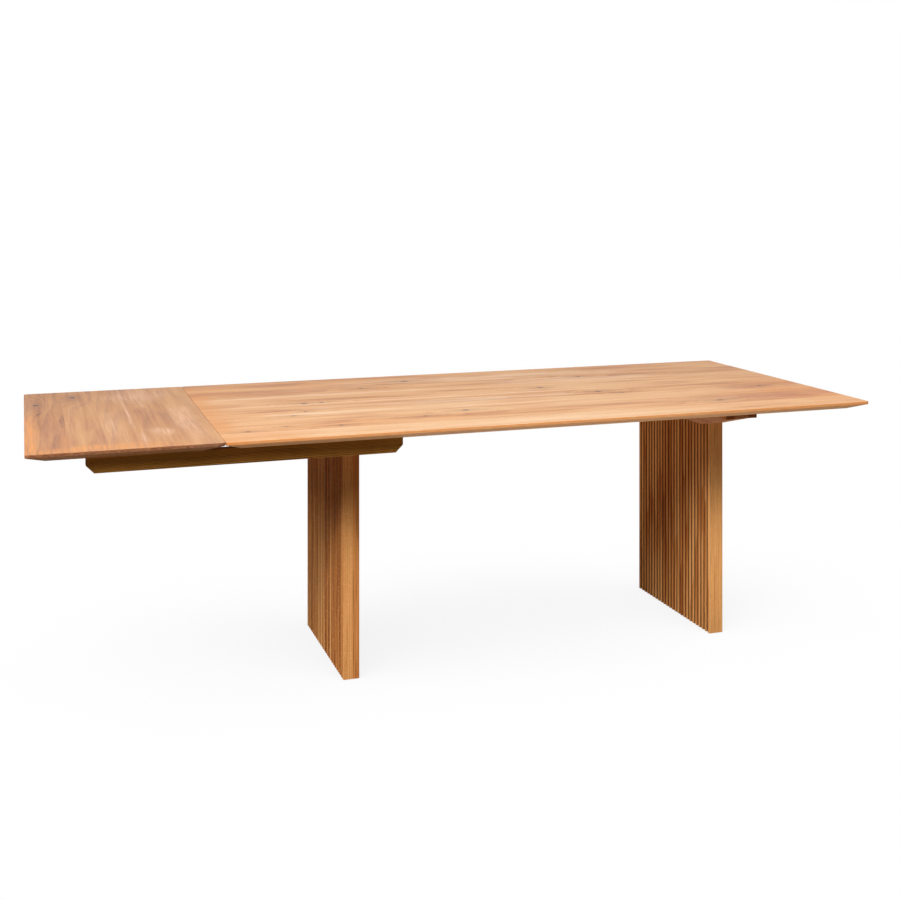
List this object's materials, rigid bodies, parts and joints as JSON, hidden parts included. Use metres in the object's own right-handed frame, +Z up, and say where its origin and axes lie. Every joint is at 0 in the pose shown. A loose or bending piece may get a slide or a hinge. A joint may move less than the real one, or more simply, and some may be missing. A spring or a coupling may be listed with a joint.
{
  "type": "extending dining table",
  "caption": "Solid oak dining table with a bevelled top on two ribbed panel legs and a loose end leaf laid on two pull-out rails.",
  "frame": {"origin": "on the floor, under the middle of the table with its end leaf on", "axes": "+X along the table, away from the end leaf; +Y across it, towards the rear rail; +Z up"},
  "size_m": [2.5, 1, 0.762],
  "materials": {
    "top_oak": "oiled solid oak, grain along the table",
    "leaf_oak": "oiled solid oak, grain across the table",
    "leg_outer_oak": "oiled solid oak, upright grain",
    "leg_inner_oak": "oiled solid oak, upright grain",
    "yoke_oak": "oiled solid oak, grain along the yoke",
    "cleat_oak": "oiled solid oak, grain along the strip",
    "rail_oak": "oiled solid oak, grain along the rail",
    "bolt_steel": "blackened steel",
    "zinc_steel": "zinc-plated steel",
    "beech": "plain beech dowel",
    "felt": "pressed grey-brown felt",
    "pad_rubber": "soft black rubber"
  },
  "bodies": {
    "table": {"main_top": "top_oak", "left_leg_outer_board": "leg_outer_oak", "left_leg_inner_board": "leg_inner_oak", "left_yoke": "yoke_oak", "left_outer_cleat": "cleat_oak", "left_inner_cleat": "cleat_oak", "left_leg_bolts": "bolt_steel", "left_bolt_washers": "zinc_steel", "left_leg_inserts": "zinc_steel", "left_leg_dowels": "beech", "left_cleat_top_screws": "zinc_steel", "left_cleat_washers": "zinc_steel", "left_cleat_side_screws": "zinc_steel", "left_leg_glides": "felt", "right_leg_outer_board": "leg_outer_oak", "right_leg_inner_board": "leg_inner_oak", "right_yoke": "yoke_oak", "right_outer_cleat": "cleat_oak", "right_inner_cleat": "cleat_oak", "right_leg_bolts": "bolt_steel", "right_bolt_washers": "zinc_steel", "right_leg_inserts": "zinc_steel", "right_leg_dowels": "beech", "right_cleat_top_screws": "zinc_steel", "right_cleat_washers": "zinc_steel", "right_cleat_side_screws": "zinc_steel", "right_leg_glides": "felt", "front_rail_guide": "rail_oak", "front_rail_guide_screws": "zinc_steel", "rear_rail_guide": "rail_oak", "rear_rail_guide_screws": "zinc_steel"},
    "front_rail": {"front_rail": "rail_oak", "front_rail_pads": "pad_rubber"},
    "rear_rail": {"rear_rail": "rail_oak", "rear_rail_pads": "pad_rubber"},
    "leaf": {"extension_leaf": "leaf_oak", "front_leaf_cleat": "cleat_oak", "front_leaf_cleat_screws": "zinc_steel", "rear_leaf_cleat": "cleat_oak", "rear_leaf_cleat_screws": "zinc_steel"}
  },
  "joints": [
    {"name": "front_rail_slide", "type": "slide", "parent": "table", "child": "front_rail", "axis": [1, 0, 0], "range_m": [0, 0.4]},
    {"name": "rear_rail_slide", "type": "slide", "parent": "table", "child": "rear_rail", "axis": [1, 0, 0], "range_m": [0, 0.4]},
    {"name": "leaf_lift", "type": "slide", "parent": "table", "child": "leaf", "axis": [0, 0, 1], "range_m": [0, 0.3]}
  ]
}
